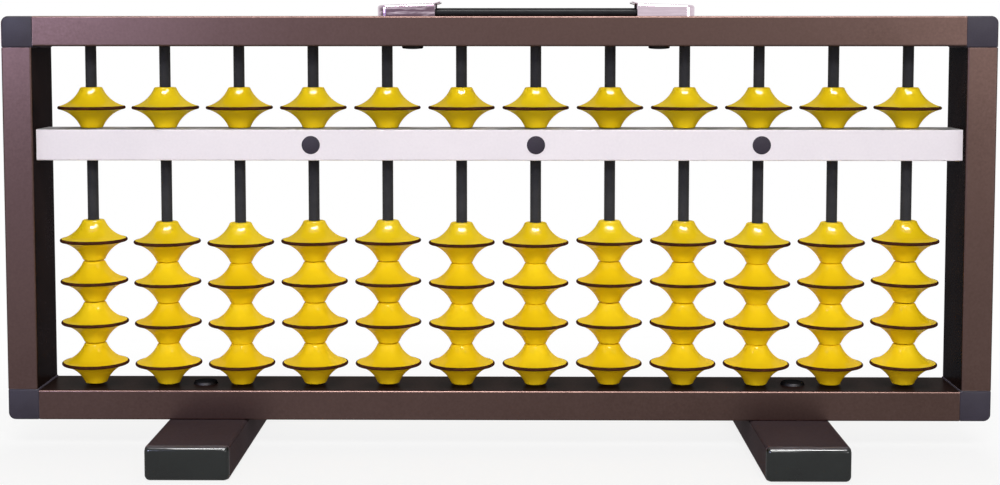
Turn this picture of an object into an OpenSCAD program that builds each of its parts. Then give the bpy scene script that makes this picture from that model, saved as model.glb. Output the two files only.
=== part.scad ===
// Large upright soroban for demonstrations: a standing frame of hollow rails with
// twelve rods, one heaven bead and four earth beads on each rod, a cross beam,
// a carrying handle and two feet that run from front to back.
// The front faces -Y, +X is to the right and the feet stand on z = 0.

/* [Frame] */
// Width of the frame over its corner blocks
frame_w = 840; // [740:5:940]
// Height of the frame without the feet
frame_h = 345; // [335:1:370]
// Depth of the rails from front to back
frame_d = 60; // [54:1:80]
// Width of a rail's front face
rail_t = 25.5; // [24:0.5:28]
// Wall of the hollow rails
rail_wall = 2; // [1.5:0.25:3]
// Rounding of the rails' long edges
rail_edge_r = 1.5; // [0.5:0.25:2]
// How far a corner block stands past the rails inside the frame
corner_lip = 1.1; // [0.5:0.1:3]
// Rounding of a corner block's outer corner
corner_r = 4.5; // [2:0.5:8]
// Length of the spigots that go into the rails
spigot_l = 30; // [20:1:40]

/* [Beam] */
// Clear height of the lower deck, from the bottom rail to the beam
lower_deck_h = 196.6; // [190:0.2:202]
// Height of the beam
beam_h = 26.7; // [22:0.1:30]
// Depth of the beam from front to back
beam_d = 40; // [30:1:50]
// Rounding of the beam's long edges
beam_edge_r = 1.2; // [0.6:0.2:3]
// Diameter of the screws at the beam's ends
beam_screw_d = 4; // [3:0.5:5]
// Length of those screws under the head
beam_screw_l = 30; // [20:1:40]
// Head diameter of those screws
beam_screw_head_d = 8; // [7:0.5:9]
// Head height of those screws
beam_screw_head_h = 2.5; // [2:0.25:3]
// Distance between the two screws at each end
beam_screw_span = 20; // [14:1:24]
// Diameter of the unit points on the beam
point_d = 15.6; // [10:0.2:18]
// Height of the unit points' heads
point_t = 1.2; // [0.8:0.1:2]
// Diameter of the unit points' stems
point_stem_d = 6; // [4:0.5:8]
// Length of the unit points' stems
point_stem_l = 8; // [5:0.5:9]

/* [Rods and beads] */
// Diameter of the rods
rod_d = 9.5; // [8:0.25:11]
// Distance from a side rail's inner face to the middle of the nearest rod
side_space = 42.5; // [38:0.5:46]
// Gap between the rims of two neighbouring beads
bead_space = 6.6; // [4:0.2:14]
// Height of a bead
bead_h = 35; // [32:0.1:35.5]
// Diameter of a bead's flat ends
bead_end_d = 18.8; // [17:0.2:24]
// Thickness of a bead's rim
bead_rim_t = 2.8; // [2:0.1:4]
// Distance of the flank arc's centre from its chord, as a share of the chord
bead_flank_ratio = 0.7; // [0.5:0.05:1.2]
// Chamfer on the edge of a bead's ends
bead_chamfer = 0.7; // [0.3:0.1:1]
// Radial play of a bead on its rod
bead_play = 0.4; // [0.3:0.05:0.6]
// Usual gap that friction leaves between stacked beads
bead_gap = 0.6; // [0.5:0.05:0.8]
// Difference of that gap from rod to rod
bead_gap_spread = 0.3; // [0:0.05:0.35]
// Gap that stays at the end of a bead's travel
stop_gap = 0.3; // [0.2:0.05:0.5]

/* [Handle] */
// Distance from a handle bolt to the next rod outside it
handle_bolt_space = 22; // [16:0.5:26]
// Length of the handle past each bolt
handle_tail = 29.25; // [27:0.25:32]
// Width of the strap
strap_w = 25; // [20:1:28]
// Thickness of the strap
strap_t = 7; // [5:0.5:8]
// Rounding of the strap's edges
strap_edge_r = 2.4; // [1:0.2:2.4]
// Length of the strap past each bolt
strap_tail = 16; // [14:1:18]
// Length of the slots in the strap
strap_slot_l = 20; // [16:1:22]
// Length of a handle end
handle_end_l = 48.3; // [45:0.1:52]
// Width of a handle end
handle_end_w = 32; // [30:1:40]
// Height of a handle end at its mouth
handle_end_h = 11.6; // [10.6:0.1:14]
// Height of a handle end near its outer tip
handle_tip_h = 9.8; // [9.6:0.1:10.4]
// Rounding of a handle end's outer corners
handle_end_r = 8; // [5:0.5:12]
// Thickness of the bead around the mouth
handle_lip_t = 1.8; // [1:0.1:3]
// How far the bead around the mouth stands out
handle_lip_rise = 0.6; // [0.3:0.1:1]
// Play of the strap in the handle ends
strap_play = 0.4; // [0.3:0.1:0.6]
// Diameter of the post inside a handle end
post_d = 9; // [8:0.5:10]
// Diameter of the handle bolts
handle_bolt_d = 5; // [4:0.5:6]
// How far the handle bolts go into the posts
handle_bolt_grip = 6; // [4:0.5:7]
// Head diameter of the handle bolts
handle_head_d = 17.4; // [12:0.2:19]
// Head height of the handle bolts
handle_head_h = 3; // [2:0.25:4]

/* [Feet] */
// How far the feet reach out in front of the frame and behind it
foot_reach = 90.7; // [70:0.5:120]
// Width of a foot
foot_w = 68.2; // [55:0.2:80]
// Height of a foot
foot_h = 28; // [24:0.5:34]
// Wall of the hollow feet
foot_wall = 2.5; // [2:0.25:3.5]
// Rounding of the feet's long edges
foot_edge_r = 3; // [1.5:0.25:3.5]
// Distance of a foot's centre line from its bolt, towards the middle of the frame
foot_offset = 6.7; // [0:0.1:16]
// Thickness of a foot cap's outer plate
foot_cap_t = 6; // [5:0.5:9]
// Rounding of a foot cap's outer edges
foot_cap_r = 4; // [2:0.25:5]
// Length of a foot cap's plug
foot_plug_l = 18; // [10:1:30]
// Diameter of the foot bolts
foot_bolt_d = 8; // [6:0.5:10]
// Head diameter of the foot bolts
foot_head_d = 21; // [16:0.5:26]
// Head height of the foot bolts
foot_head_h = 2; // [1.5:0.25:4]
// Width across the flats of the foot nuts
foot_nut_w = 13; // [13:0.5:17]
// Height of the foot nuts
foot_nut_h = 6.5; // [5:0.25:8]
// How far a foot bolt stands out under its nut
foot_bolt_end = 2; // [1:0.5:4]

/* [Fits] */
// Radial play of fixed pins, screws and rods in their holes
fit = 0.1; // [0.05:0.01:0.2]
// Play of the spigots and plugs in their tubes, each side
plug_play = 0.15; // [0.1:0.05:0.3]
// Gap above the rods' upper ends
rod_end_gap = 0.3; // [0.1:0.1:1]

/* [Hidden] */
$fn = 48;
// A little more than flush, so that cuts go right through and joined shapes overlap
over = 1;
rod_count = 12;
// Earth beads on each rod
earth_count = 4;
// First rod with a unit point in front, counted from the left
point_rod_count = 4;
// Rods from one unit point to the next
point_step = 3;
// Rod over which the handle is centred, counted from the left
handle_rod_count = 7;
// Rods from there to the one outside each handle bolt
handle_reach_count = 2;
// Foot bolts stand midway between two rods, this many pitches from the middle
foot_bolt_count = 4;
// Step of the angle that spreads the gaps from rod to rod
gap_step = 97;

corner_s = rail_t + corner_lip;
frame_bottom = foot_h;
frame_top = frame_bottom + frame_h;
lower_floor = frame_bottom + rail_t;
beam_bottom = lower_floor + lower_deck_h;
beam_top = beam_bottom + beam_h;
upper_ceiling = frame_top - rail_t;
side_inner_x = frame_w / 2 - rail_t;
rod_pitch = 2 * (side_inner_x - side_space) / (rod_count - 1);
bead_d = rod_pitch - bead_space;
rail_l = frame_w - 2 * corner_s;
side_rail_l = frame_h - 2 * corner_s;
handle_x = rod_x(handle_rod_count);
handle_bolt_span = 2 * (handle_reach_count * rod_pitch - handle_bolt_space);
handle_l = handle_bolt_span + 2 * handle_tail;
foot_l = frame_d + 2 * foot_reach;
foot_body_l = foot_l - 2 * foot_cap_t;
foot_bolt_x = foot_bolt_count * rod_pitch;
foot_x = foot_bolt_x - foot_offset;

// Centre of rod i, counted from the left
function rod_x(i) = (i - (rod_count + 1) / 2) * rod_pitch;
// Gap between the stacked beads of rod i
function gap_at(i) = bead_gap + bead_gap_spread * sin(gap_step * i);
// Centre of earth bead k of rod i, counted from the bottom rail
function earth_z(i, k) = lower_floor + k * (bead_h + gap_at(i)) - bead_h / 2;
// Earth beads in the upper group of rod i
function high_count(i) = 1 + i % 3;

bead_names = [
    for (i = [1:rod_count]) each [
        str("heaven_bead_", i),
        str("earth_beads_high_", i),
        str("earth_beads_low_", i)
    ]
];

// Rectangle with rounded corners, centred
module rounded_rect(w, h, r) {
    square([w - 2 * r, h], center = true);
    square([w, h - 2 * r], center = true);
    for (sx = [-1, 1], sy = [-1, 1])
        translate([sx * (w / 2 - r), sy * (h / 2 - r)])
            circle(r = r);
}

// Slot with round ends, l long and w wide, centred
module slot(l, w) {
    square([l - w, w], center = true);
    for (side = [-1, 1])
        translate([side * (l - w) / 2, 0])
            circle(d = w);
}

// Cross-section of the hollow rails
module rail_section() {
    difference() {
        rounded_rect(rail_t, frame_d, rail_edge_r);
        square([rail_t - 2 * rail_wall, frame_d - 2 * rail_wall], center = true);
    }
}

module lying_rail(z) {
    translate([-rail_l / 2, 0, z + rail_t / 2])
        rotate([0, 90, 0])
            linear_extrude(rail_l)
                rail_section();
}

// Holes for all rods, cut through one wall that starts at height z
module rod_holes(z, h) {
    for (i = [1:rod_count])
        translate([rod_x(i), 0, z - over])
            cylinder(r = rod_d / 2 + fit, h = h + 2 * over);
}

module top_rail() {
    color("#6b5750")
        difference() {
            lying_rail(upper_ceiling);
            rod_holes(upper_ceiling, rail_wall);
            for (side = [-1, 1])
                translate([handle_x + side * handle_bolt_span / 2, 0, upper_ceiling - over])
                    cylinder(r = handle_bolt_d / 2 + fit, h = rail_t + 2 * over);
        }
}

module bottom_rail() {
    color("#6b5750")
        difference() {
            lying_rail(frame_bottom);
            rod_holes(lower_floor - rail_wall, rail_wall);
            for (side = [-1, 1])
                translate([side * foot_bolt_x, 0, frame_bottom - over])
                    cylinder(r = foot_bolt_d / 2 + fit, h = rail_t + 2 * over);
        }
}

// Positions of the two screws at one end of the beam
module at_beam_screws(side) {
    for (y = [-1, 1])
        translate([side * side_inner_x, y * beam_screw_span / 2, beam_bottom + beam_h / 2])
            rotate([0, side * 90, 0])
                children();
}

module side_rail(side) {
    color("#6b5750")
        difference() {
            translate([side * (frame_w - rail_t) / 2, 0, frame_bottom + corner_s])
                linear_extrude(side_rail_l)
                    rail_section();
            at_beam_screws(side)
                translate([0, 0, -over])
                    cylinder(r = beam_screw_d / 2 + fit, h = rail_wall + 2 * over);
        }
}

// Corner block with its outer corner at the origin, running to +X and -Z
module corner_block() {
    tube_in = rail_t - 2 * rail_wall - 2 * plug_play;
    depth_in = frame_d - 2 * rail_wall - 2 * plug_play;
    color("#44444e") {
        rotate([90, 0, 0])
            linear_extrude(frame_d, center = true) {
                translate([corner_r, -corner_s])
                    square([corner_s - corner_r, corner_s]);
                translate([0, -corner_s])
                    square([corner_s, corner_s - corner_r]);
                translate([corner_r, -corner_r])
                    circle(r = corner_r);
            }
        translate([corner_s - over, -depth_in / 2, -rail_t / 2 - tube_in / 2])
            cube([spigot_l + over, depth_in, tube_in]);
        translate([rail_t / 2 - tube_in / 2, -depth_in / 2, -corner_s - spigot_l])
            cube([tube_in, depth_in, spigot_l + over]);
    }
}

// Corner block in one corner of the frame: side is -1 left, 1 right; level is 1 at the top, -1 at the bottom
module corner_at(side, level) {
    translate([side * frame_w / 2, 0, level > 0 ? frame_top : frame_bottom])
        mirror([side > 0 ? 1 : 0, 0, 0])
            mirror([0, 0, level > 0 ? 0 : 1])
                corner_block();
}

module beam() {
    color("#e8e2ec")
        difference() {
            translate([-side_inner_x, 0, beam_bottom + beam_h / 2])
                rotate([0, 90, 0])
                    linear_extrude(2 * side_inner_x)
                        rounded_rect(beam_h, beam_d, beam_edge_r);
            rod_holes(beam_bottom, beam_h);
            for (side = [-1, 1])
                at_beam_screws(side)
                    translate([0, 0, rail_wall - beam_screw_l - over])
                        cylinder(r = beam_screw_d / 2 + fit, h = beam_screw_l + over);
            at_unit_points()
                cylinder(r = point_stem_d / 2 + fit, h = point_stem_l + over);
        }
}

module beam_screws() {
    color("#9a9a9a")
        for (side = [-1, 1])
            at_beam_screws(side) {
                translate([0, 0, rail_wall - beam_screw_l])
                    cylinder(d = beam_screw_d, h = beam_screw_l);
                translate([0, 0, rail_wall])
                    cylinder(d = beam_screw_head_d, h = beam_screw_head_h);
            }
}

// Places on the beam's front face, with +Z going into the beam
module at_unit_points() {
    for (i = [point_rod_count:point_step:rod_count])
        translate([rod_x(i), -beam_d / 2, beam_bottom + beam_h / 2])
            rotate([-90, 0, 0])
                children();
}

module unit_points() {
    color("#463c46")
        at_unit_points() {
            translate([0, 0, -point_t])
                cylinder(d1 = point_d - point_t, d2 = point_d, h = point_t / 2);
            translate([0, 0, -point_t / 2])
                cylinder(d = point_d, h = point_t / 2);
            cylinder(d = point_stem_d, h = point_stem_l);
        }
}

module rods() {
    color("#373437")
        for (i = [1:rod_count])
            translate([rod_x(i), 0, frame_bottom + rail_wall])
                cylinder(d = rod_d, h = frame_h - 2 * rail_wall - rod_end_gap);
}

// Half cross-section of a bead about its rod, centred on its rim
module bead_profile() {
    nose_r = bead_rim_t / 2;
    rim_x = bead_d / 2 - nose_r;
    end_x = bead_end_d / 2;
    half = bead_h / 2;
    bore = rod_d / 2 + bead_play;
    chord = [rim_x - end_x, nose_r - half];
    middle = [(rim_x + end_x) / 2, (nose_r + half) / 2];
    centre = middle + bead_flank_ratio * [-chord[1], chord[0]];
    flank_r = norm(centre - [end_x, half]);
    difference() {
        union() {
            translate([bore, -half])
                square([rim_x - bore, bead_h]);
            translate([rim_x, 0])
                circle(r = nose_r);
        }
        for (way = [-1, 1]) {
            translate([centre[0], way * centre[1]])
                circle(r = flank_r);
            polygon([
                [end_x - bead_chamfer, way * half],
                [end_x + over, way * half],
                [end_x + over, way * (half - bead_chamfer - over)]
            ]);
        }
    }
}

module bead_at(i, z) {
    color("#e6c614")
        translate([rod_x(i), 0, z])
            rotate_extrude()
                bead_profile();
}

module heaven_bead(i) {
    bead_at(i, beam_top + stop_gap + bead_h / 2);
}

module earth_beads_high(i) {
    for (k = [earth_count - high_count(i) + 1:earth_count])
        bead_at(i, earth_z(i, k));
}

module earth_beads_low(i) {
    for (k = [1:earth_count - high_count(i)])
        bead_at(i, earth_z(i, k));
}

module handle_strap() {
    strap_l = handle_bolt_span + 2 * strap_tail;
    slot_w = post_d + 2 * strap_play;
    color("#1e1e20")
        difference() {
            translate([handle_x - strap_l / 2, 0, frame_top + strap_t / 2])
                rotate([0, 90, 0])
                    linear_extrude(strap_l)
                        rounded_rect(strap_t, strap_w, strap_edge_r);
            for (side = [-1, 1])
                translate([handle_x + side * handle_bolt_span / 2, 0, frame_top - over])
                    linear_extrude(strap_t + 2 * over)
                        slot(strap_slot_l, slot_w);
        }
}

// Handle end with its outer tip at the origin, its mouth towards +X, standing on z = 0
module handle_end() {
    tip = handle_end_r;
    channel_w = strap_w + 2 * strap_play;
    channel_h = strap_t + strap_play;
    channel_x = handle_tail - strap_tail - strap_play;
    color("#c9c4cc") {
        difference() {
            union() {
                intersection() {
                    rotate([90, 0, 0])
                        linear_extrude(handle_end_w, center = true)
                            polygon([
                                [0, 0],
                                [handle_end_l, 0],
                                [handle_end_l, handle_end_h],
                                [tip, handle_tip_h],
                                [tip / 4, handle_tip_h - tip / 4],
                                [0, handle_tip_h - tip / 2]
                            ]);
                    linear_extrude(handle_end_h) {
                        translate([tip, -handle_end_w / 2])
                            square([handle_end_l - tip, handle_end_w]);
                        translate([0, tip - handle_end_w / 2])
                            square([handle_end_l, handle_end_w - 2 * tip]);
                        for (side = [-1, 1])
                            translate([tip, side * (handle_end_w / 2 - tip)])
                                circle(r = tip);
                    }
                }
                translate([handle_end_l - handle_lip_t, -handle_end_w / 2 - handle_lip_rise, 0])
                    cube([handle_lip_t, handle_end_w + 2 * handle_lip_rise, handle_end_h + handle_lip_rise]);
            }
            translate([channel_x, -channel_w / 2, -over])
                cube([handle_end_l, channel_w, channel_h + over]);
        }
        difference() {
            translate([handle_tail, 0, 0])
                cylinder(d = post_d, h = handle_tip_h - over);
            translate([handle_tail, 0, -over])
                cylinder(r = handle_bolt_d / 2 + fit, h = handle_bolt_grip + over);
        }
    }
}

module handle_end_at(side) {
    translate([handle_x + side * handle_l / 2, 0, frame_top])
        mirror([side > 0 ? 1 : 0, 0, 0])
            handle_end();
}

module handle_bolts() {
    rim_h = handle_head_h / 3;
    color("#2b2a2c")
        for (side = [-1, 1])
            translate([handle_x + side * handle_bolt_span / 2, 0, upper_ceiling]) {
                cylinder(d = handle_bolt_d, h = rail_t + handle_bolt_grip);
                translate([0, 0, -rim_h])
                    cylinder(d = handle_head_d, h = rim_h);
                translate([0, 0, -handle_head_h])
                    cylinder(d1 = handle_head_d / 2, d2 = handle_head_d, h = handle_head_h - rim_h);
            }
}

module foot(side) {
    color("#5a4740")
        difference() {
            translate([side * foot_x, 0, foot_h / 2])
                rotate([90, 0, 0])
                    linear_extrude(foot_body_l, center = true)
                        difference() {
                            rounded_rect(foot_w, foot_h, foot_edge_r);
                            square([foot_w - 2 * foot_wall, foot_h - 2 * foot_wall], center = true);
                        }
            translate([side * foot_bolt_x, 0, foot_h - foot_wall - over])
                cylinder(r = foot_bolt_d / 2 + fit, h = foot_wall + 2 * over);
        }
}

// Foot cap with its outer face at y = 0 and its plug towards +Y, centred on X and Z
module foot_cap() {
    plug_w = foot_w - 2 * foot_wall - 2 * plug_play;
    plug_h = foot_h - 2 * foot_wall - 2 * plug_play;
    color("#2e3232") {
        intersection() {
            rotate([-90, 0, 0])
                linear_extrude(foot_cap_t)
                    rounded_rect(foot_w, foot_h, foot_edge_r);
            linear_extrude(foot_h, center = true)
                rounded_front(foot_w);
            rotate([0, 90, 0])
                linear_extrude(foot_w, center = true)
                    rounded_front(foot_h);
        }
        translate([-plug_w / 2, foot_cap_t - over, -plug_h / 2])
            cube([plug_w, foot_plug_l + over, plug_h]);
    }
}

// Outline of a foot cap's outer plate with its two front corners rounded
module rounded_front(w) {
    translate([-w / 2, foot_cap_r])
        square([w, foot_cap_t - foot_cap_r]);
    translate([foot_cap_r - w / 2, 0])
        square([w - 2 * foot_cap_r, foot_cap_t]);
    for (side = [-1, 1])
        translate([side * (w / 2 - foot_cap_r), foot_cap_r])
            circle(r = foot_cap_r);
}

// Foot cap on a foot: side is -1 left, 1 right; way is -1 front, 1 rear
module foot_cap_at(side, way) {
    translate([side * foot_x, way * foot_l / 2, foot_h / 2])
        mirror([0, way > 0 ? 1 : 0, 0])
            foot_cap();
}

module foot_bolts() {
    nut_bottom = foot_h - foot_wall - foot_nut_h;
    bolt_l = lower_floor - nut_bottom + foot_bolt_end;
    color("#2b2a2c")
        for (side = [-1, 1])
            translate([side * foot_bolt_x, 0, lower_floor]) {
                translate([0, 0, -bolt_l])
                    cylinder(d = foot_bolt_d, h = bolt_l);
                cylinder(d1 = foot_head_d, d2 = foot_head_d - foot_head_h, h = foot_head_h);
            }
}

module foot_nuts() {
    color("#8c8c8c")
        for (side = [-1, 1])
            translate([side * foot_bolt_x, 0, foot_h - foot_wall - foot_nut_h])
                difference() {
                    cylinder(d = foot_nut_w / cos(30), h = foot_nut_h, $fn = 6);
                    translate([0, 0, -over])
                        cylinder(r = foot_bolt_d / 2 + fit, h = foot_nut_h + 2 * over);
                }
}

top_rail();
bottom_rail();
side_rail(-1);  // left_rail
side_rail(1);  // right_rail
corner_at(-1, 1);  // corner_top_left
corner_at(1, 1);  // corner_top_right
corner_at(-1, -1);  // corner_bottom_left
corner_at(1, -1);  // corner_bottom_right
beam();
beam_screws();
unit_points();
rods();
handle_strap();
handle_end_at(-1);  // handle_end_left
handle_end_at(1);  // handle_end_right
handle_bolts();
foot(-1);  // foot_left
foot(1);  // foot_right
foot_cap_at(-1, -1);  // foot_cap_front_left
foot_cap_at(1, -1);  // foot_cap_front_right
foot_cap_at(-1, 1);  // foot_cap_rear_left
foot_cap_at(1, 1);  // foot_cap_rear_right
foot_bolts();
foot_nuts();
for (i = [1:rod_count]) {
    heaven_bead(i);
    earth_beads_high(i);
    earth_beads_low(i);
}
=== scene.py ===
# %% [markdown]
# # A large upright soroban
# A soroban is a Japanese abacus. This one is a big classroom model that stands on two feet, with a
# brown metal frame, a white beam, black velvety rods and glossy yellow beads with a dark rim. A CAD
# model gives every piece its place, so the first step loads it. Its nodes never move: a node either
# keeps its mesh and gets a new finish, or is hidden while a finer piece takes its place.

# %% Load the model
import math

import bmesh
import bpy
from mathutils import Color, Matrix, Vector


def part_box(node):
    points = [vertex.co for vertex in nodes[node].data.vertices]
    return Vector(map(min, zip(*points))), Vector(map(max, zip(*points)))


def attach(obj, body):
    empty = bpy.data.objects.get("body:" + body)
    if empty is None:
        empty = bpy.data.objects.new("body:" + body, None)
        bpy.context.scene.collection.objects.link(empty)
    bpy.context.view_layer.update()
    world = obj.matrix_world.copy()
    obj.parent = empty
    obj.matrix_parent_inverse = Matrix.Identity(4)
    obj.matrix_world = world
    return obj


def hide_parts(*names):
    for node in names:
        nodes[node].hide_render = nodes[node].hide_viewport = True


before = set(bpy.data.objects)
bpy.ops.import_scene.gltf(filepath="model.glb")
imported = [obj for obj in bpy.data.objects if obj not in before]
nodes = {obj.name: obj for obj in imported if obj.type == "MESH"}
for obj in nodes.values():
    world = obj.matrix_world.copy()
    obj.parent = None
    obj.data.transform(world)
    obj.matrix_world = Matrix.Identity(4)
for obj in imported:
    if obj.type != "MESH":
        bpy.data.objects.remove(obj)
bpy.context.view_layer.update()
scene = bpy.context.scene
MM = 0.001

# %% [markdown]
# ## The viewpoint
# The picture was taken from a little above the top rail, almost square on. The lens could be guessed by
# eye, but a fit of the frame's edges, the rods and the beads' rims gives it to a fraction of a degree.
# The uprights lean inwards only a little while the frame sits low in the picture, so the picture is
# cropped from a larger one. A lens shift does the same here.

# %% Camera
CAMERA_PLACE = (0.0135, -1.3723, 0.356)
DEGREES_DOWN = 3.867
DEGREES_LEFT = 0.514

lens = bpy.data.cameras.new("front_view")
lens.sensor_width = 36
lens.lens = 57.3
lens.shift_y = -0.0987
camera = bpy.data.objects.new("front_view", lens)
camera.location = CAMERA_PLACE
camera.rotation_euler = (math.radians(90 - DEGREES_DOWN), 0, math.radians(DEGREES_LEFT))
scene.collection.objects.link(camera)
scene.camera = camera
print("camera at", [round(value, 3) for value in camera.location])

# %% [markdown]
# ## Colours and wires
# A colour is easiest to write as it looks on a screen, from 0 to 255, but shaders work with linear
# light, so one short function converts it. Adding every node and wire by itself would make a long
# script. Here `feed` fills the sockets of a node, with a wire where it is given an output of another
# node and with a plain value otherwise, and `put` adds a node, feeds it and hands back its outputs. The
# rest are the few nodes that nearly every finish needs. A Mix node has a set of sockets for each kind
# of value, and those for colours go by number.

# %% Helpers for colours and nodes
COLOUR_A, COLOUR_B, COLOUR_RESULT = 6, 7, 2


def tint(red, green, blue):
    on_screen = Color((red / 255, green / 255, blue / 255))
    return (*on_screen.from_srgb_to_scene_linear(), 1.0)


def feed(tree, node, sockets):
    for key, value in sockets.items():
        if isinstance(value, bpy.types.NodeSocket):
            tree.links.new(value, node.inputs[key])
        else:
            node.inputs[key].default_value = value


def put(tree, kind, sockets=None, **settings):
    node = tree.nodes.new(kind)
    for name, value in settings.items():
        setattr(node, name, value)
    feed(tree, node, sockets or {})
    return node.outputs


def multiply(tree, first, second):
    return put(tree, "ShaderNodeMath", {0: first, 1: second}, operation="MULTIPLY")[0]


def remap(tree, value, start=0.0, end=1.0, low=0.0, high=1.0, **settings):
    sockets = {"Value": value, "From Min": start, "From Max": end, "To Min": low, "To Max": high}
    return put(tree, "ShaderNodeMapRange", sockets, **settings)["Result"]


def stretch(tree, place, factors):
    return put(tree, "ShaderNodeVectorMath", {0: place, 1: factors}, operation="MULTIPLY")[0]


def noise(tree, place, scale, detail):
    return put(tree, "ShaderNodeTexNoise", {"Vector": place, "Scale": scale, "Detail": detail})["Fac"]


def mix_colours(tree, share, first, second):
    sockets = {"Factor": share, COLOUR_A: first, COLOUR_B: second}
    return put(tree, "ShaderNodeMix", sockets, data_type="RGBA")[COLOUR_RESULT]


def bump(tree, height, strength, depth):
    sockets = {"Height": height, "Strength": strength, "Distance": depth}
    return put(tree, "ShaderNodeBump", sockets)["Normal"]


print("yellow as linear light:", [round(value, 3) for value in tint(232, 202, 28)])

# %% [markdown]
# ## The floor
# The object stands on a plain pale floor. A floor that is lit evenly and also keeps the soft shadow of
# the feet needs a diffuse material near the object. Further out it fades to plain white, so that no
# horizon line shows behind the frame, and mirrors and glossy plastic see the same white. A floor as
# pale as that would throw too much light up under the beads, so it is darker for the light that it
# gives back to the object.

# %% Floor
FLOOR_HALF = 8
FLOOR_DROP = 0.2 * MM
WHITE = (1, 1, 1, 1)


def start_finish(name):
    finish = bpy.data.materials.new(name)
    finish.use_nodes = True
    tree = finish.node_tree
    place = put(tree, "ShaderNodeTexCoord")["Object"]
    return finish, tree, tree.nodes["Principled BSDF"], place


def seen_directly(tree):
    ray = put(tree, "ShaderNodeLightPath")
    seen = ray["Is Camera Ray"]
    for kind in ("Is Glossy Ray", "Is Transmission Ray"):
        seen = put(tree, "ShaderNodeMath", {0: seen, 1: ray[kind]}, operation="MAXIMUM")[0]
    return seen


bm = bmesh.new()
bmesh.ops.create_grid(bm, x_segments=1, y_segments=1, size=FLOOR_HALF)
bmesh.ops.translate(bm, verts=bm.verts, vec=(0, 0, -FLOOR_DROP))
floor_mesh = bpy.data.meshes.new("floor")
bm.to_mesh(floor_mesh)
bm.free()
floor = bpy.data.objects.new("floor", floor_mesh)
scene.collection.objects.link(floor)

floor_finish, tree, shader, place = start_finish("pale_floor")
given_back = put(tree, "ShaderNodeLightPath")["Is Diffuse Ray"]
feed(tree, shader, {
    "Base Color": remap(tree, given_back, low=0.93, high=0.3),
    "Roughness": 0.9,
    "Specular IOR Level": 0.1,
})
oval = stretch(tree, place, (0.45, 1.0, 0.0))
distance = put(tree, "ShaderNodeVectorMath", {0: oval}, operation="LENGTH")["Value"]
far = remap(tree, distance, start=0.14, end=0.5, low=0.82, interpolation_type="SMOOTHSTEP")
share = multiply(tree, far, seen_directly(tree))
white = put(tree, "ShaderNodeEmission", {"Color": WHITE, "Strength": 1.0})[0]
mixed = put(tree, "ShaderNodeMixShader", {0: share, 1: shader.outputs[0], 2: white})[0]
feed(tree, tree.nodes["Material Output"], {"Surface": mixed})
floor_mesh.materials.append(floor_finish)
print("floor of", floor.dimensions.x, "m, white beyond the object")

# %% [markdown]
# ## Light
# The photograph shows soft light from above and from both sides in front: the top rail is brightest at
# its two ends, and the beads carry a small highlight near their upper end. A sky dome alone would be
# too flat, so lamps stand where those highlights point. Some of them light only matt surfaces and some
# show only as a sheen, so that shade and highlights can be set apart from each other. The sky is white
# for the camera and for reflections, and dimmer as a light.

# %% Sky and lamps
sky = bpy.data.worlds.new("white_studio")
sky.use_nodes = True
scene.world = sky
tree = sky.node_tree
strength = remap(tree, seen_directly(tree), low=0.26)
feed(tree, tree.nodes["Background"], {"Color": WHITE, "Strength": strength})


def hang_lamp(name, place, aim, size, power, colour=(1, 1, 1), matt=True, sheen=True):
    lamp = bpy.data.lights.new(name, "AREA")
    lamp.shape = "RECTANGLE"
    lamp.size, lamp.size_y = size
    lamp.energy = power
    lamp.color = colour
    holder = bpy.data.objects.new(name, lamp)
    holder.location = place
    holder.rotation_euler = (Vector(aim) - Vector(place)).to_track_quat("-Z", "Y").to_euler()
    holder.visible_camera = False
    holder.visible_diffuse = matt
    holder.visible_glossy = sheen
    scene.collection.objects.link(holder)
    print("lamp", name, power, "W")


hang_lamp("key_lamp", (0.1, -2.0, 1.5), (0, 0, 0.2), (0.9, 0.45), 32)
hang_lamp("fill_lamp", (0, -1.5, 0.12), (0, 0, 0.2), (1.6, 0.15), 6.5, (1, 0.9, 0.84), sheen=False)
hang_lamp("rear_lamp", (0.2, 2.0, 1.5), (0, 0, 0.2), (1.4, 0.8), 26, sheen=False)
hang_lamp("window_lamp", (0.05, -1.05, 2.1), (0, 0, 0.25), (1.8, 0.4), 165, matt=False)
hang_lamp("ceiling_lamp", (0, -0.75, 2.3), (0, 0, 0.2), (2.2, 0.8), 20, (1, 0.95, 1), matt=False)
hang_lamp("left_lamp", (-1.1, -1.6, 0.75), (-0.3, 0, 0.3), (0.4, 0.3), 36, (0.59, 0.62, 1), matt=False)
hang_lamp("right_lamp", (1.25, -1.6, 0.6), (0.3, 0, 0.25), (0.7, 0.5), 12, matt=False)

# %% [markdown]
# ## Effects that several finishes share
# Real paint and plastic are never one even colour. Each finish could get its own noise, but the same
# four effects come back on most surfaces here, so each is a node group that is built once. *Uneven
# colour* mixes two tones by a cloudy noise with a fine speckle on top. *Drawn lines* gives the faint
# lengthwise lines that a rail keeps from the die it was drawn through. *Worn and highlit edge* finds
# convex edges by comparing the surface's normal with a rounded one, and breaks the result up with
# noise; it is wear, and on the brown coat also a painted highlight. *Dust and painted light* tones
# whatever faces up, in patches: a little real dust on the blocks, dots and strap, painted shade on the
# top of the beam and a painted highlight on the top edge of the foot caps. A short function beside
# each group places it in a finish.

# %% Node group: uneven colour
def start_group(name, inputs, outputs):
    group = bpy.data.node_groups.new(name, "ShaderNodeTree")
    for label, kind in inputs.items():
        group.interface.new_socket(label, in_out="INPUT", socket_type="NodeSocket" + kind)
    for label, kind in outputs.items():
        group.interface.new_socket(label, in_out="OUTPUT", socket_type="NodeSocket" + kind)
    given = group.nodes.new("NodeGroupInput").outputs
    result = group.nodes.new("NodeGroupOutput")
    return group, given, result


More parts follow.
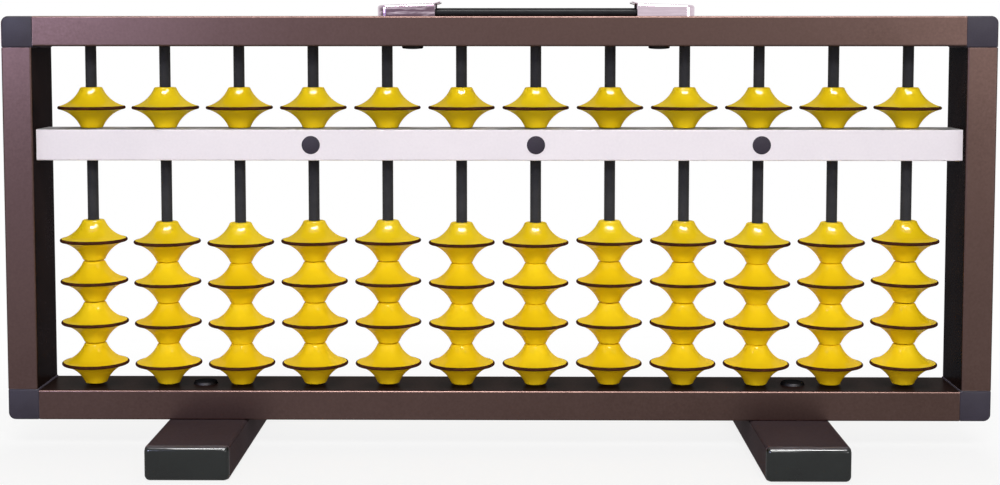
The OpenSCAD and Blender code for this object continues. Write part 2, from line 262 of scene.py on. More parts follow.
uneven, given, result = start_group(
    "uneven_colour",
    {"Place": "Vector", "Cloud Size": "Float", "Speckle Size": "Float", "Light": "Color", "Dark": "Color"},
    {"Color": "Color", "Mask": "Float"})
cloud = noise(uneven, given["Place"], given["Cloud Size"], detail=3.0)
speckle = noise(uneven, given["Place"], given["Speckle Size"], detail=2.0)
both = put(uneven, "ShaderNodeMix", {"Factor": 0.4, "A": cloud, "B": speckle})[0]
mask = remap(uneven, both, start=0.32, end=0.68)
feed(uneven, result, {"Color": mix_colours(uneven, mask, given["Light"], given["Dark"]), "Mask": mask})


def mottle(tree, place, cloud, speckle, light, dark):
    sockets = {"Place": place, "Cloud Size": cloud, "Speckle Size": speckle, "Light": light, "Dark": dark}
    return put(tree, "ShaderNodeGroup", sockets, node_tree=uneven)


print("group", uneven.name, "with", len(uneven.nodes), "nodes")

# %% Node group: drawn lines
lines, given, result = start_group(
    "drawn_lines",
    {"Place": "Vector", "Stretch": "Vector"},
    {"Height": "Float"})
stretched = stretch(lines, given["Place"], given["Stretch"])
sockets = {"Vector": stretched, "Scale": 1.0, "Detail": 3.0, "Roughness": 0.6}
feed(lines, result, {"Height": put(lines, "ShaderNodeTexNoise", sockets)["Fac"]})


def draw_lines(tree, place, factors):
    return put(tree, "ShaderNodeGroup", {"Place": place, "Stretch": factors}, node_tree=lines)["Height"]


print("group", lines.name, "with", len(lines.nodes), "nodes")

# %% Node group: worn and highlit edge
worn_and_lit, given, result = start_group(
    "worn_and_highlit_edge",
    {"Place": "Vector", "Reach": "Float", "Patch Size": "Float"},
    {"Mask": "Float"})
rounded = put(worn_and_lit, "ShaderNodeBevel", {"Radius": given["Reach"]}, samples=4)["Normal"]
normal = put(worn_and_lit, "ShaderNodeNewGeometry")["Normal"]
agree = put(worn_and_lit, "ShaderNodeVectorMath", {0: rounded, 1: normal}, operation="DOT_PRODUCT")["Value"]
edge = remap(worn_and_lit, agree, start=0.97, end=0.75)
patch = remap(worn_and_lit, noise(worn_and_lit, given["Place"], given["Patch Size"], detail=4.0), start=0.42, end=0.62)
feed(worn_and_lit, result, {"Mask": multiply(worn_and_lit, edge, patch)})


def wear_and_light_edges(tree, place, colour, reach, patch, strength, bare_and_lit):
    sockets = {"Place": place, "Reach": reach, "Patch Size": patch}
    mask = put(tree, "ShaderNodeGroup", sockets, node_tree=worn_and_lit)["Mask"]
    return mix_colours(tree, multiply(tree, mask, strength), colour, bare_and_lit)


print("group", worn_and_lit.name, "with", len(worn_and_lit.nodes), "nodes")

# %% Node group: dust and painted light
# Up-facing faces take a second tone: a little real dust on the blocks, dots and strap, painted shade on the
# beam's top and a painted highlight on the caps' tops.
dust, given, result = start_group(
    "dust_and_painted_light",
    {"Place": "Vector", "Amount": "Float"},
    {"Mask": "Float"})
normal = put(dust, "ShaderNodeNewGeometry")["Normal"]
upward = put(dust, "ShaderNodeSeparateXYZ", {"Vector": normal})["Z"]
level = remap(dust, upward, start=0.6, end=0.97)
patchiness = remap(dust, noise(dust, given["Place"], scale=45.0, detail=5.0), start=0.35, end=0.65, low=0.6)
feed(dust, result, {"Mask": multiply(dust, multiply(dust, level, patchiness), given["Amount"])})


def lay_dust_and_light(tree, place, colour, amount, grey):
    mask = put(tree, "ShaderNodeGroup", {"Place": place, "Amount": amount}, node_tree=dust)["Mask"]
    return mix_colours(tree, mask, colour, grey)


print("group", dust.name, "with", len(dust.nodes), "nodes")

# %% [markdown]
# ## Brown satin coat
# The rails and feet are drawn metal tubes with a satin brown coat. It could be a flat brown, but the
# photograph shows a metallic gloss that brightens towards the lamps, a faint mottle and a light line
# along the long edges. So the coat mixes two browns, has fine lengthwise lines in its bump and is
# paler at the edges, which is wear and also a painted highlight for that light line. It is metallic on
# the rails and only partly so on the feet, which look duller. A dark specular tint keeps it from
# turning white at a grazing angle; its cool grey, bluer on the upright rails, is a painted reflection
# that makes their inner faces look bluish dark. The lines follow the tube, so their direction is a
# setting.

# %% Coats of the rails and feet
ALONG, ACROSS = 6.0, 900.0


def brown_coat(name, light, dark, line_stretch, metal, grazing, shine=0.5):
    finish, tree, shader, place = start_finish(name)
    tone = mottle(tree, place, cloud=9.0, speckle=480.0, light=light, dark=dark)
    # Paler edges: wear, and a painted highlight along the long edges.
    worn_and_lit_tone = wear_and_light_edges(tree, place, tone["Color"], reach=1.1 * MM, patch=60.0, strength=0.35,
                       bare_and_lit=tint(168, 146, 140))
    feed(tree, shader, {
        "Base Color": worn_and_lit_tone,
        "Roughness": remap(tree, tone["Mask"], low=0.31, high=0.39),
        "Normal": bump(tree, draw_lines(tree, place, line_stretch), strength=0.12, depth=0.1 * MM),
        "Metallic": metal,
        "Specular Tint": grazing,
        "Specular IOR Level": shine,
    })
    return finish


def coat(finish, *names):
    for name in names:
        nodes[name].material_slots[0].material = finish
    print(finish.name, "on", len(names), "nodes")


rail_light, rail_dark = tint(80, 63, 59), tint(65, 50, 46)
# The cool grazing tints are painted reflection; the one on the upright rails is bluer.
lying_coat = brown_coat("brown_coat_lying", rail_light, rail_dark, (ALONG, ACROSS, ACROSS),
                        metal=1.0, grazing=(0.28, 0.3, 0.3, 1))
standing_coat = brown_coat("brown_coat_standing", rail_light, rail_dark, (ACROSS, ACROSS, ALONG),
                           metal=1.0, grazing=(0.24, 0.3, 0.32, 1))
foot_coat = brown_coat("brown_coat_feet", tint(96, 82, 86), tint(81, 68, 71), (ACROSS, ALONG, ACROSS),
                       metal=0.4, grazing=(0.18, 0.2, 0.19, 1), shine=0.0)
coat(lying_coat, "top_rail", "bottom_rail")
coat(standing_coat, "left_rail", "right_rail")
coat(foot_coat, "foot_left", "foot_right")

# %% [markdown]
# ## White beam
# The beam is white lacquer with a trace of lilac: almost even, with a slight cloudiness and a soft
# gloss. Its top is greyed almost all over, as painted shade. The gloss could come from the shader's own
# specular light, but a clear coat with its own roughness lies over the colour as lacquer does, so the
# plain specular is switched off.

# %% White lacquer
def clear_coat(weight, index, rough):
    return {"Specular IOR Level": 0.0, "Coat Weight": weight, "Coat IOR": index, "Coat Roughness": rough}


beam_finish, tree, shader, place = start_finish("white_lacquer")
tone = mottle(tree, place, cloud=14.0, speckle=450.0, light=tint(240, 235, 243), dark=tint(232, 227, 236))
ripple = noise(tree, place, scale=260.0, detail=2.0)
feed(tree, shader, {
    # The grey on the beam's top is painted shade.
    "Base Color": lay_dust_and_light(tree, place, tone["Color"], amount=0.95, grey=tint(98, 102, 98)),
    "Roughness": remap(tree, tone["Mask"], low=0.42, high=0.55),
    "Normal": bump(tree, ripple, strength=0.06, depth=0.1 * MM),
    **clear_coat(weight=0.12, index=2.0, rough=0.4),
})
coat(beam_finish, "beam")

# %% [markdown]
# ## Black rods and the fasteners
# The rods are covered with short black fibres that hold the beads by friction. Fibres scatter light at
# the rim of the rod, so sheen and a fine grainy bump suit them better than gloss. The bolts are blacked
# steel, and the screws and nuts inside the tubes are plain steel. Both steels are one finish with other
# values.

# %% Black flock
rod_finish, tree, shader, place = start_finish("black_flock")
tone = mottle(tree, place, cloud=60.0, speckle=1800.0, light=tint(47, 47, 51), dark=tint(32, 32, 36))
fibres = noise(tree, place, scale=2600.0, detail=2.0)
feed(tree, shader, {
    "Base Color": tone["Color"],
    "Roughness": 0.85,
    "Specular IOR Level": 0.15,
    "Sheen Weight": 0.05,
    "Sheen Roughness": 0.5,
    "Normal": bump(tree, fibres, strength=0.5, depth=0.25 * MM),
})
coat(rod_finish, "rods")


# %% Steel of the bolts, screws and nuts
def steel(name, light, dark, rough, grazing):
    finish, tree, shader, place = start_finish(name)
    tone = mottle(tree, place, cloud=150.0, speckle=1500.0, light=light, dark=dark)
    feed(tree, shader, {
        "Base Color": tone["Color"],
        "Roughness": remap(tree, tone["Mask"], low=rough, high=rough + 0.12),
        "Metallic": 1.0,
        "Specular Tint": grazing,
    })
    return finish


plain_steel = steel("plain_steel", tint(176, 176, 174), tint(150, 150, 150), 0.28, (0.9, 0.9, 0.9, 1))
black_steel = steel("blacked_steel", tint(38, 37, 38), tint(26, 25, 26), 0.45, (0.08, 0.08, 0.08, 1))
coat(plain_steel, "beam_screws", "foot_nuts")
coat(black_steel, "foot_bolts")

# %% [markdown]
# ## Finished pieces
# Every new piece ends the same way: its normals are made to point outwards, the mesh gets smooth
# shading with crisp edges where faces meet steeply, the piece is tied to the moving body it belongs to,
# and the CAD node it stands for is hidden. Writing that once keeps the pieces alike.

# %% Helper for finished pieces
WELD = 0.002 * MM


def finish_piece(node, bm, finish, body="frame", crisp=40):
    name = "dressed_" + node
    bmesh.ops.remove_doubles(bm, verts=bm.verts, dist=WELD)
    bmesh.ops.recalc_face_normals(bm, faces=bm.faces)
    mesh = bpy.data.meshes.new(name)
    bm.to_mesh(mesh)
    bm.free()
    mesh.shade_smooth()
    mesh.set_sharp_from_angle(angle=math.radians(crisp))
    mesh.materials.append(finish)
    piece = bpy.data.objects.new(name, mesh)
    scene.collection.objects.link(piece)
    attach(piece, body)
    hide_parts(node)
    return piece


# %% [markdown]
# ## A bead
# A soroban bead is two trumpets set rim to rim. It could be modelled as a lathe profile drawn point by
# point, but the curves are plain arcs, and spinning a single vertex draws an arc exactly. So the
# profile is drawn with three spins, closed along the bore, and then spun once round the rod. The sharp
# edges at the two ends are rounded last. The faces round the rim get a second material slot, because
# the rim is painted dark.

# %% Helpers for turned shapes
NEAR = 0.05 * MM


def near(first, second):
    return abs(first - second) < NEAR


def draw_line(bm, vertex, x, z):
    end = bm.verts.new((x, 0, z))
    bm.edges.new((vertex, end))
    return end


def draw_arc(bm, vertex, centre, axis, angle, steps):
    made = bmesh.ops.spin(bm, geom=[vertex], cent=centre, axis=axis, angle=angle, steps=steps,
                          use_merge=False)
    return [item for item in made["geom_last"] if isinstance(item, bmesh.types.BMVert)][0]


def spin_round(bm, steps):
    bmesh.ops.spin(bm, geom=bm.verts[:] + bm.edges[:], cent=(0, 0, 0), axis=(0, 0, 1), angle=math.tau,
                   steps=steps, use_merge=True)
    bmesh.ops.remove_doubles(bm, verts=bm.verts, dist=WELD)


def round_edges(bm, edges, radius, segments):
    bmesh.ops.bevel(bm, geom=edges, offset=radius, offset_type="OFFSET", segments=segments, profile=0.5,
                    affect="EDGES", clamp_overlap=True, material=-1)


# %% Turn one bead
BEAD_RADIUS, BEAD_HALF = 28.7 * MM, 17.6 * MM
END_RADIUS, END_ROUND = 9.2 * MM, 1.1 * MM
BORE_RADIUS, BORE_ROUND = 5.15 * MM, 0.4 * MM
RIM_ROUND = 1.4 * MM
RIM_X = BEAD_RADIUS - RIM_ROUND
PAINTED_FROM = RIM_X + RIM_ROUND / 10
FLANK_SHARE = 0.95
FLANK_STEPS, RIM_STEPS, BEAD_STEPS = 14, 8, 64


def draw_bead_profile(bm):
    neck, rim = Vector((END_RADIUS, 0, BEAD_HALF)), Vector((RIM_X, 0, RIM_ROUND))
    chord = rim - neck
    centre = (neck + rim) / 2 + FLANK_SHARE * Vector((-chord.z, 0, chord.x))
    sweep = (neck - centre).angle(rim - centre)
    first = bm.verts.new((BORE_RADIUS, 0, BEAD_HALF))
    last = draw_line(bm, first, neck.x, neck.z)
    last = draw_arc(bm, last, centre, (0, -1, 0), sweep, FLANK_STEPS)
    last = draw_arc(bm, last, (RIM_X, 0, 0), (0, 1, 0), math.pi, RIM_STEPS)
    last = draw_arc(bm, last, (centre.x, 0, -centre.z), (0, -1, 0), sweep, FLANK_STEPS)
    last = draw_line(bm, last, BORE_RADIUS, -BEAD_HALF)
    bm.edges.new((last, first))


def at_end(vertex, radius):
    return near(vertex.co.xy.length, radius) and near(abs(vertex.co.z), BEAD_HALF)


def end_edges(bm, radius):
    return [edge for edge in bm.edges if all(at_end(vertex, radius) for vertex in edge.verts)]


bead = bmesh.new()
draw_bead_profile(bead)
spin_round(bead, BEAD_STEPS)
round_edges(bead, end_edges(bead, END_RADIUS), END_ROUND, segments=4)
round_edges(bead, end_edges(bead, BORE_RADIUS), BORE_ROUND, segments=2)
bmesh.ops.recalc_face_normals(bead, faces=bead.faces)
bead.verts.layers.float.new("tone")
for face in bead.faces:
    face.material_index = 1 if face.calc_center_median().xy.length > PAINTED_FROM else 0
print("one bead:", len(bead.faces), "faces")

# %% [markdown]
# ## Yellow plastic with a dark rim
# The beads are glossy moulded plastic, a warm yellow that turns deep gold in the shade below the rim. A
# plain yellow looks like a toy, so the colour shifts a little from bead to bead and in soft clouds, and
# the gloss is slightly rippled like a moulding. The shade of each bead is a number that its mesh
# carries, so all beads share one finish. The rim is a matt dark brown.

# %% Finish of the beads
bead_finish, tree, shader, place = start_finish("yellow_bead")
tone = mottle(tree, place, cloud=22.0, speckle=350.0, light=tint(248, 216, 32), dark=tint(244, 209, 28))
own_shade = put(tree, "ShaderNodeAttribute", attribute_name="tone")["Fac"]
ripple = noise(tree, place, scale=90.0, detail=1.0)
feed(tree, shader, {
    "Base Color": mix_colours(tree, own_shade, tone["Color"], tint(238, 202, 22)),
    "Roughness": remap(tree, tone["Mask"], low=0.14, high=0.2),
    "Normal": bump(tree, ripple, strength=0.05, depth=0.08 * MM),
    **clear_coat(weight=0.1, index=2.2, rough=0.09),
})
print("finish", bead_finish.name, "with", len(tree.nodes), "nodes")

rim_finish, tree, shader, place = start_finish("brown_rim")
tone = mottle(tree, place, cloud=120.0, speckle=900.0, light=tint(84, 48, 31), dark=tint(56, 32, 22))
feed(tree, shader, {
    "Base Color": tone["Color"],
    "Roughness": remap(tree, tone["Mask"], low=0.45, high=0.6),
    "Specular IOR Level": 0.0,
})
print("finish", rim_finish.name, "with", len(tree.nodes), "nodes")

# %% [markdown]
# ## All the beads
# The CAD model holds the beads in groups that slide together, and each group's box says where it is:
# its middle is the rod, and its height is a number of beads with small gaps. Placing sixty beads by
# hand would be slow and would break when a size changes. So each group is filled from its box with
# copies of the one bead, each turned a little about the rod and given its own shade. Both follow from
# the bead's place, so every run gives the same.

# %% String the beads
CAD_BEAD_HEIGHT = 35 * MM
SHADE_WAVES = Vector((157, 0, 83))
TURN_PER_METRE = 9


def add_loose(bm, part):
    loose = bpy.data.meshes.new("loose")
    part.to_mesh(loose)
    part.free()
    bm.from_mesh(loose)
    bpy.data.meshes.remove(loose)


def string_beads(node):
    low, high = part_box(node)
    count = round((high.z - low.z) / CAD_BEAD_HEIGHT)
    step = (high.z - low.z - CAD_BEAD_HEIGHT) / max(count - 1, 1)
    group = bmesh.new()
    for k in range(count):
        one = bead.copy()
        spot = Vector(((low.x + high.x) / 2, 0, low.z + CAD_BEAD_HEIGHT / 2 + k * step))
        layer = one.verts.layers.float["tone"]
        for vertex in one.verts:
            vertex[layer] = 0.5 + 0.5 * math.sin(SHADE_WAVES.dot(spot))
        turn = Matrix.Rotation(spot.x * TURN_PER_METRE + k, 3, "Z")
        bmesh.ops.rotate(one, verts=one.verts, cent=(0, 0, 0), matrix=turn)
        bmesh.ops.translate(one, verts=one.verts, vec=spot)
        add_loose(group, one)
    piece = finish_piece(node, group, bead_finish, body=node, crisp=60)
    piece.data.materials.append(rim_finish)
    return count


bead_total = sum(string_beads(node) for node in sorted(nodes) if "bead" in node)
bead.free()
print("beads strung:", bead_total)

# %% [markdown]
# ## Moulded plastic
# The corner blocks, the unit points and the caps of the feet are dark plastic mouldings. Each could
# have a material of its own, but they differ only in colour and gloss, so one function makes all three:
# a speckled colour, edges worn paler, a pale tone on top and the fine grain of a mould. The pale top is
# a little real dust on the blocks and dots, and on the caps a painted highlight along the top edge.

# %% Finish of the mouldings
def moulded(name, light, dark, rough, grain, top_dust_and_highlight, gloss):
    finish, tree, shader, place = start_finish(name)
    tone = mottle(tree, place, cloud=40.0, speckle=1100.0, light=light, dark=dark)
    worn_and_lit_tone = wear_and_light_edges(tree, place, tone["Color"], reach=0.8 * MM, patch=150.0, strength=0.25,
                       bare_and_lit=tint(120, 118, 124))
    skin = noise(tree, place, scale=1400.0, detail=2.0)
    feed(tree, shader, {
        "Base Color": lay_dust_and_light(tree, place, worn_and_lit_tone, amount=top_dust_and_highlight, grey=tint(150, 140, 148)),
        "Roughness": remap(tree, tone["Mask"], low=rough, high=rough + 0.1),
        "Normal": bump(tree, skin, strength=grain, depth=0.15 * MM),
        **gloss,
    })
    print("finish", name, "with", len(tree.nodes), "nodes")
    return finish


slate_finish = moulded("slate_block", tint(62, 58, 70), tint(51, 47, 57), rough=0.55, grain=0.2, top_dust_and_highlight=0.1,
                       gloss=clear_coat(weight=0.08, index=2.0, rough=0.5))
dot_finish = moulded("violet_grey_dot", tint(52, 46, 58), tint(44, 39, 50), rough=0.5, grain=0.1, top_dust_and_highlight=0.1,
                     gloss={"Specular IOR Level": 0.12})
# The caps' pale top is a painted highlight along their rounded top edge.
cap_finish = moulded("black_cap", tint(28, 32, 32), tint(19, 22, 22), rough=0.16, grain=0.04, top_dust_and_highlight=0.4,
                     gloss=clear_coat(weight=0.22, index=2.0, rough=0.13))

# %% [markdown]
# ## Corner blocks
# Each corner of the frame is a slate black plastic block. Its outer corner is well rounded, its other
# edges are just softened, and two spigots, which can't be seen, go into the rails. The CAD node's box
# gives the outer corner. The block could be cut from an outline, but a cube is simpler: the outer edge
# is bevelled first because it has its own radius, then the rest, and the spigots grow from the two
# inner faces with an inset and an extrusion.

# %% Helpers for blocks
STEEP = math.radians(50)
SQUARE_ON = 0.99


def box_between(bm, corner, opposite):
    made = bmesh.ops.create_cube(bm, size=1)["verts"]
    bmesh.ops.scale(bm, verts=made, vec=[abs(b - a) for a, b in zip(corner, opposite)])
    bmesh.ops.translate(bm, verts=made, vec=[(a + b) / 2 for a, b in zip(corner, opposite)])
    return made


def face_towards(bm, way):
    bm.normal_update()
    facing = [face for face in bm.faces if face.normal.dot(way) > SQUARE_ON]
    return max(facing, key=lambda face: face.calc_area())


def grow_plug(bm, face, inset, move):
    bmesh.ops.inset_individual(bm, faces=[face], thickness=inset)
    grown = bmesh.ops.extrude_discrete_faces(bm, faces=[face])["faces"][0]
    bmesh.ops.translate(bm, verts=grown.verts, vec=move)


# %% The four blocks
BLOCK = 26.6 * MM
CORNER_ROUND, BLOCK_ROUND = 6 * MM, 1.4 * MM
SPIGOT_INSET, SPIGOT_LONG = 1.6 * MM, 30 * MM


def cast_corner(node, side, level):
    low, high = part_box(node)
    outer_x = high.x if side > 0 else low.x
    outer_z = high.z if level > 0 else low.z
    bm = bmesh.new()
    box_between(bm, (outer_x, low.y, outer_z), (outer_x - side * BLOCK, high.y, outer_z - level * BLOCK))
    outer_edge = [e for e in bm.edges
                  if all(near(v.co.x, outer_x) and near(v.co.z, outer_z) for v in e.verts)]
    round_edges(bm, outer_edge, CORNER_ROUND, segments=8)
    steep_edges = [e for e in bm.edges if e.calc_face_angle(0) > STEEP]
    round_edges(bm, steep_edges, BLOCK_ROUND, segments=3)
    ways = (Vector((-side, 0, 0)), Vector((0, 0, -level)))
    seats = [face_towards(bm, way) for way in ways]
    for seat, way in zip(seats, ways):
        grow_plug(bm, seat, SPIGOT_INSET, way * SPIGOT_LONG)
    finish_piece(node, bm, slate_finish)
    print("block", node)


for side, across in ((-1, "left"), (1, "right")):
    for level, height in ((1, "top"), (-1, "bottom")):
        cast_corner(f"corner_{height}_{across}", side, level)

# %% [markdown]
# ## Unit points and handle bolts
# The three dark dots on the beam mark every third place. They are low domed buttons. The bolts of the
# handle show their low round heads under the top rail. A cylinder would look too sharp for either, so
# both are turned shapes: a short profile whose dome is an arc, spun round its own axis and then turned
# to face the right way, with a stem that grows from the back.

# %% Helper for buttons
DOME_STEPS, BUTTON_STEPS = 8, 48
SOFT_SHARE = 0.7


def turn_button(bm, place, facing, radius, height, wall, stem_radius, stem_long):
    rise = height - wall
    dome = (radius * radius + rise * rise) / (2 * rise)
    part = bmesh.new()
    last = draw_line(part, part.verts.new((radius, 0, 0)), radius, wall)
    draw_arc(part, last, (0, 0, height - dome), (0, -1, 0), math.asin(radius / dome), DOME_STEPS)
    spin_round(part, BUTTON_STEPS)
    rim = [e for e in part.edges if all(near(v.co.z, wall) for v in e.verts)]
    round_edges(part, rim, wall * SOFT_SHARE, segments=4)
    seat = bmesh.ops.holes_fill(part, edges=[e for e in part.edges if e.is_boundary])["faces"][0]
    grow_plug(part, seat, radius - stem_radius, (0, 0, -stem_long))
    turn = Vector((0, 0, 1)).rotation_difference(Vector(facing)).to_matrix()
    bmesh.ops.rotate(part, verts=part.verts, cent=(0, 0, 0), matrix=turn)
    bmesh.ops.translate(part, verts=part.verts, vec=place)
    add_loose(bm, part)


# %% Unit points on the beam and bolts under the rail
ROD_PITCH = 64 * MM
MIDDLE_OF_RODS = 6.5
HANDLE_BOLT_SPAN = 212 * MM


def rod_x(number):
    return (number - MIDDLE_OF_RODS) * ROD_PITCH


HANDLE_X = rod_x(7)
beam_low, beam_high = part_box("beam")
rail_low, rail_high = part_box("top_rail")

dots = bmesh.new()
for number in (4, 7, 10):
    spot = (rod_x(number), beam_low.y, (beam_low.z + beam_high.z) / 2)
    turn_button(dots, spot, (0, -1, 0), radius=7.8 * MM, height=1.2 * MM, wall=0.6 * MM,
                stem_radius=3 * MM, stem_long=8 * MM)
finish_piece("unit_points", dots, dot_finish)

bolts = bmesh.new()
for side in (-1, 1):
    spot = (HANDLE_X + side * HANDLE_BOLT_SPAN / 2, 0, rail_low.z)
    turn_button(bolts, spot, (0, 0, -1), radius=9.2 * MM, height=2.6 * MM, wall=1.95 * MM,
                stem_radius=2.5 * MM, stem_long=31.5 * MM)
finish_piece("handle_bolts", bolts, black_steel)
print("unit points: 3, handle bolts: 2")

# %% [markdown]
# ## The strap of the handle
# The handle is the common case handle: a black strap whose two ends slide in bright chromed covers. The
# strap could stay a plain bar, but a real one is a crowned band with thinner edges. So a bar with
# rounded edges is cut lengthwise and its middle is lifted. Its skin is grainy, which a fine cell
# pattern gives.

# %% Strap
STRAP_GAP = 0.1 * MM
STRAP_ROUND = 2.2 * MM
CROWN_RISE, CROWN_TOP, CROWN_FOOT = 0.9 * MM, 7.4 * MM, 8.4 * MM

strap_low, strap_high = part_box("handle_strap")
strap_wide = strap_high.y - strap_low.y
bm = bmesh.new()
box_between(bm, strap_low + Vector((0, 0, STRAP_GAP)), strap_high - Vector((0, 0, CROWN_RISE)))
long_edges = [e for e in bm.edges if e.calc_length() > 2 * strap_wide]
round_edges(bm, long_edges, STRAP_ROUND, segments=5)
for cut in (-CROWN_FOOT, -CROWN_TOP, CROWN_TOP, CROWN_FOOT):
    bmesh.ops.bisect_plane(bm, geom=bm.verts[:] + bm.edges[:] + bm.faces[:], plane_co=(0, cut, 0),
                           plane_no=(0, 1, 0))
crown_half = (CROWN_TOP + CROWN_FOOT) / 2
half_up = (strap_low.z + strap_high.z) / 2
crown = [v for v in bm.verts if abs(v.co.y) < crown_half and v.co.z > half_up]
bmesh.ops.translate(bm, verts=crown, vec=(0, 0, CROWN_RISE))

strap_finish, tree, shader, place = start_finish("black_strap")
tone = mottle(tree, place, cloud=60.0, speckle=1200.0, light=tint(30, 30, 33), dark=tint(18, 18, 20))
pores = put(tree, "ShaderNodeTexVoronoi", {"Vector": place, "Scale": 900.0})["Distance"]
feed(tree, shader, {
    "Base Color": lay_dust_and_light(tree, place, tone["Color"], amount=0.1, grey=tint(128, 124, 120)),
    "Roughness": remap(tree, tone["Mask"], low=0.38, high=0.5),
    "Normal": bump(tree, pores, strength=0.25, depth=0.2 * MM),
    **clear_coat(weight=0.06, index=2.0, rough=0.4),
})
finish_piece("handle_strap", bm, strap_finish)
print("strap:", round((strap_high.x - strap_low.x) / MM, 1), "mm long")

# %% [markdown]
# ## Chromed covers
# Each end of the strap slides in a thin open cover of bright chromed sheet. A solid box would show no
# mouth, so a box loses its bottom and its mouth, gets a flared lip and a tongue where the strap comes
# out, and then its sheet's thickness. Fine streaks run along the front walls, and the left cover has
# more of them than the right one. Their dark colour, the stronger streaking on the left cover and the
# lilac tint of the chrome are painted reflection.

# %% Bright chrome
chrome_finish, tree, shader, place = start_finish("bright_chrome")
streak_and_dark_reflection = remap(tree, draw_lines(tree, place, (45.0, 300.0, 420.0)), start=0.3, end=0.52)
along = put(tree, "ShaderNodeSeparateXYZ", {"Vector": place})["X"]
# Darker streaks on the left cover: painted reflection.
left_cover_dark_reflection = remap(tree, along, start=-0.06, end=0.12, low=1.0, high=0.15)
normal = put(tree, "ShaderNodeNewGeometry")["Normal"]
forwards = put(tree, "ShaderNodeSeparateXYZ", {"Vector": normal})["Y"]
front_walls = remap(tree, forwards, start=-0.5, end=-0.9, low=0.12)
streak_and_dark_reflection = multiply(tree, streak_and_dark_reflection, multiply(tree, left_cover_dark_reflection, front_walls))
# The lilac tint and the dark streak colour are painted reflection.
feed(tree, shader, {
    "Base Color": mix_colours(tree, streak_and_dark_reflection, tint(216, 198, 210), tint(104, 84, 96)),
    "Roughness": remap(tree, streak_and_dark_reflection, low=0.08, high=0.2),
    "Metallic": 1.0,
})
print("finish", chrome_finish.name, "with", len(tree.nodes), "nodes")

# %% Press the two covers
COVER_LONG, COVER_HALF_WIDE, COVER_MOUTH, COVER_TIP = 48.3 * MM, 16 * MM, 11.1 * MM, 9.4 * MM
COVER_CORNER, COVER_ROUND = 8 * MM, 2.2 * MM
LIP_MOVE, LIP_SPREAD = (0.9 * MM, 0, 0), 1.035
TONGUE_MOVES = ((2.0 * MM, 0, 0.5 * MM), (2.2 * MM, 0, 1.0 * MM))
TONGUE_SPREADS = (1.0, 0.98)
SHEET = 0.8 * MM


def grow_lip(bm, edges, move, spread):
    made = bmesh.ops.extrude_edge_only(bm, edges=edges)["geom"]
    verts = [item for item in made if isinstance(item, bmesh.types.BMVert)]
    bmesh.ops.scale(bm, verts=verts, vec=(1, spread, spread))
    bmesh.ops.translate(bm, verts=verts, vec=move)
    made_edges = [item for item in made if isinstance(item, bmesh.types.BMEdge)]
    return [edge for edge in made_edges if all(v in verts for v in edge.verts)]


def round_cover(bm):
    tip_edges = [e for e in bm.edges if all(near(v.co.x, 0) for v in e.verts)]
    upright = [e for e in tip_edges if near(e.verts[0].co.y, e.verts[1].co.y)]
    round_edges(bm, upright, COVER_CORNER, segments=8)
    high_edges = [e for e in bm.edges if all(v.co.z > COVER_TIP / 2 for v in e.verts)]
    top_edges = [e for e in high_edges
                 if e.calc_face_angle(0) > STEEP and not all(near(v.co.x, COVER_LONG) for v in e.verts)]
    round_edges(bm, top_edges, COVER_ROUND, segments=5)


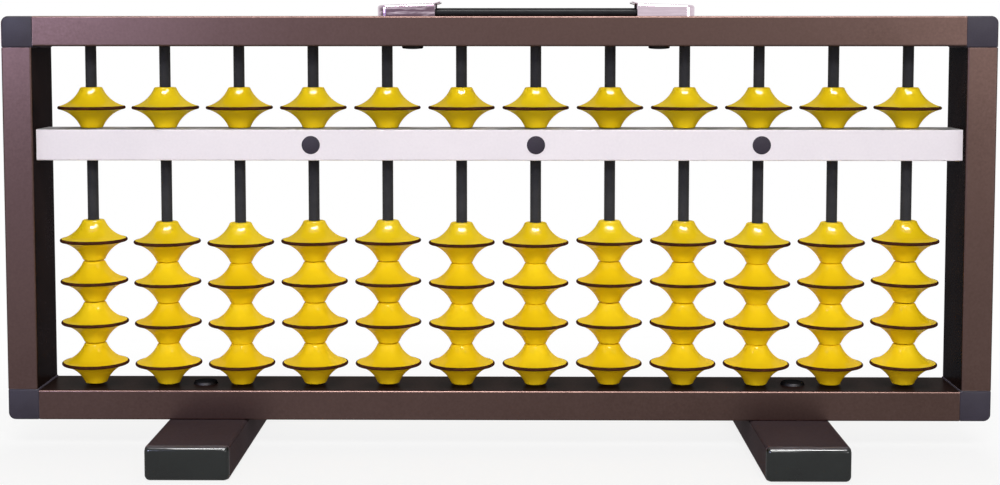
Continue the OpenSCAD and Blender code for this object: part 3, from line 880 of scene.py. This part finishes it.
def press_cover(node, side):
    low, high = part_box(node)
    bm = bmesh.new()
    made = box_between(bm, (0, -COVER_HALF_WIDE, 0), (COVER_LONG, COVER_HALF_WIDE, COVER_MOUTH))
    tip_top = [v for v in made if near(v.co.x, 0) and near(v.co.z, COVER_MOUTH)]
    bmesh.ops.translate(bm, verts=tip_top, vec=(0, 0, COVER_TIP - COVER_MOUTH))
    round_cover(bm)
    opened = [face_towards(bm, way) for way in (Vector((0, 0, -1)), Vector((1, 0, 0)))]
    bmesh.ops.delete(bm, geom=opened, context="FACES")
    mouth = [e for e in bm.edges if e.is_boundary and all(v.co.x > COVER_LONG - MM for v in e.verts)]
    lip = grow_lip(bm, mouth, LIP_MOVE, LIP_SPREAD)
    tongue = [e for e in lip if all(v.co.z > COVER_MOUTH - MM for v in e.verts)]
    for move, spread in zip(TONGUE_MOVES, TONGUE_SPREADS):
        tongue = grow_lip(bm, tongue, move, spread)
    bmesh.ops.scale(bm, verts=bm.verts, vec=(-side, 1, 1))
    bmesh.ops.recalc_face_normals(bm, faces=bm.faces)
    bmesh.ops.solidify(bm, geom=bm.faces[:], thickness=SHEET)
    outer_x = high.x if side > 0 else low.x
    bmesh.ops.translate(bm, verts=bm.verts, vec=(outer_x, 0, rail_high.z))
    finish_piece(node, bm, chrome_finish, crisp=25)
    print("cover", node)


press_cover("handle_end_left", -1)
press_cover("handle_end_right", 1)

# %% [markdown]
# ## Foot caps
# The feet end in smooth black plastic caps, well rounded at their outer end, where they catch a long
# highlight. A flat block would show a hard outline there. So a cube from the CAD node's box gets the
# outline of its outer face and the four edges behind it rounded at once, and its corners come out as
# parts of a ball. The plug that goes into the foot grows from the other face, as the spigots of the
# corner blocks do.

# %% The four caps
CAP_THICK, CAP_ROUND, CAP_SEAM = 6 * MM, 4.5 * MM, 0.4 * MM
PLUG_INSET, PLUG_LONG = 2.3 * MM, 18 * MM


def mould_cap(node, way):
    low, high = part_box(node)
    outer_y = high.y if way > 0 else low.y
    inner_y = outer_y - way * CAP_THICK
    bm = bmesh.new()
    box_between(bm, (low.x, outer_y, low.z), (high.x, inner_y, high.z))
    outer_edges = [e for e in bm.edges if any(near(v.co.y, outer_y) for v in e.verts)]
    round_edges(bm, outer_edges, CAP_ROUND, segments=8)
    seam_edges = [e for e in bm.edges if all(near(v.co.y, inner_y) for v in e.verts)]
    round_edges(bm, seam_edges, CAP_SEAM, segments=2)
    seat = face_towards(bm, Vector((0, -way, 0)))
    grow_plug(bm, seat, PLUG_INSET, (0, -way * PLUG_LONG, 0))
    finish_piece(node, bm, cap_finish)
    print("cap", node)


for across in ("left", "right"):
    for way, end in ((-1, "front"), (1, "rear")):
        mould_cap(f"foot_cap_{end}_{across}", way)

# %% [markdown]
# ## Colour management
# The picture is shown without a film curve, so a colour comes out about as it is written.

# %% Colour management
scene.view_settings.view_transform = "Standard"
